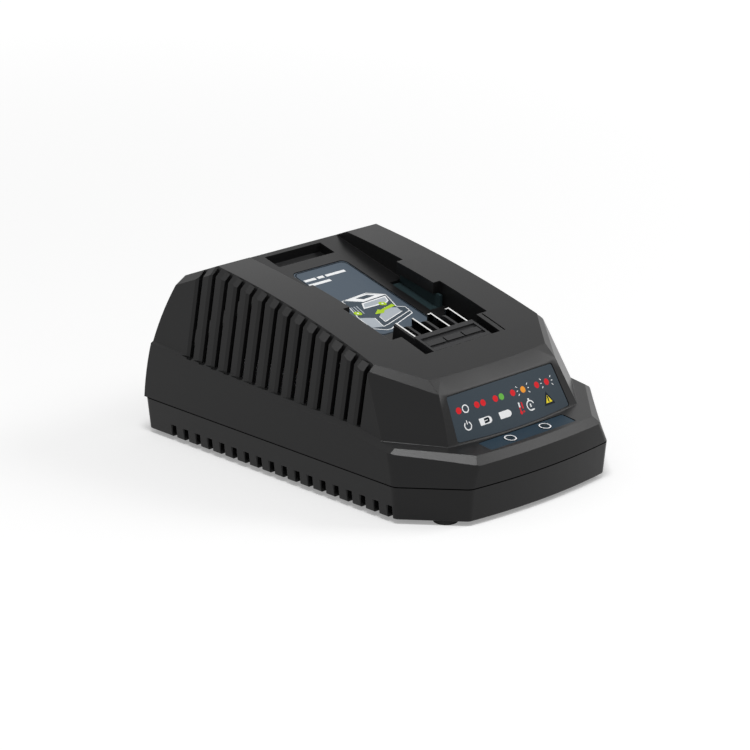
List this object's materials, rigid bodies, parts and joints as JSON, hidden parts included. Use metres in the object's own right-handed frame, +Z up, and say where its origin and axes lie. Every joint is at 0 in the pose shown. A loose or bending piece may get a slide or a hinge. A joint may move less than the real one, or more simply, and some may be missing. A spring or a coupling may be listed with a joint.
{
  "type": "battery charger",
  "caption": "Tabletop charger for a slide-on tool battery: louvred two-part casing, sloping battery bay with blade contacts, status panel and lit windows.",
  "frame": {"origin": "on the surface the feet stand on, under the middle of the charger", "axes": "+Z up, +Y from the nose to the back, +X to the right seen from the front"},
  "size_m": [0.13, 0.196, 0.0852],
  "materials": {
    "casing": "fine matt grain",
    "foot_rubber": "matt",
    "printed_film": "satin print",
    "clear_lens": "polished",
    "liner_plastic": "smooth, low friction",
    "terminal_plastic": "satin",
    "contact_metal": "plated, satin",
    "circuit_board": "solder mask",
    "cable_grey": "satin",
    "ferrite": "matt",
    "bobbin_plastic": "matt",
    "winding_tape": "taped",
    "sink_aluminium": "extruded",
    "package_black": "matt",
    "can_sleeve": "sleeved",
    "copper_wire": "enamelled",
    "fuse_glass": "clear",
    "capacitor_box": "moulded",
    "varistor_coat": "dipped",
    "wire_sleeve": "smooth",
    "screw_steel": "zinc plated"
  },
  "bodies": {
    "root": {"upper_housing": "casing", "lower_housing": "casing", "foot_front_left": "foot_rubber", "foot_front_right": "foot_rubber", "foot_rear_left": "foot_rubber", "foot_rear_right": "foot_rubber", "status_overlay": "printed_film", "bay_label": "printed_film", "indicator_overlay": "printed_film", "light_pipe_left": "clear_lens", "light_pipe_right": "clear_lens", "rail_liner_right": "liner_plastic", "rail_liner_left": "liner_plastic", "terminal_holder": "terminal_plastic", "contact_positive": "contact_metal", "contact_data": "contact_metal", "contact_thermistor": "contact_metal", "contact_negative": "contact_metal", "main_board": "circuit_board", "indicator_board": "circuit_board", "indicator_leds": "clear_lens", "indicator_cable": "cable_grey", "transformer_core": "ferrite", "transformer_bobbin": "bobbin_plastic", "transformer_winding": "winding_tape", "primary_heat_sink": "sink_aluminium", "secondary_heat_sink": "sink_aluminium", "switching_transistor": "package_black", "rectifier_diode": "package_black", "bulk_capacitors": "can_sleeve", "output_capacitors": "can_sleeve", "filter_choke_core": "ferrite", "filter_choke_windings": "copper_wire", "fuse_tube": "fuse_glass", "fuse_clips": "contact_metal", "x_capacitor": "capacitor_box", "varistor": "varistor_coat", "bridge_rectifier": "package_black", "control_chips": "package_black", "mains_inlet": "terminal_plastic", "inlet_pins": "contact_metal", "inlet_wires": "wire_sleeve", "terminal_wires": "wire_sleeve", "housing_screws": "screw_steel", "board_screws": "screw_steel", "holder_screws": "screw_steel"}
  },
  "joints": []
}
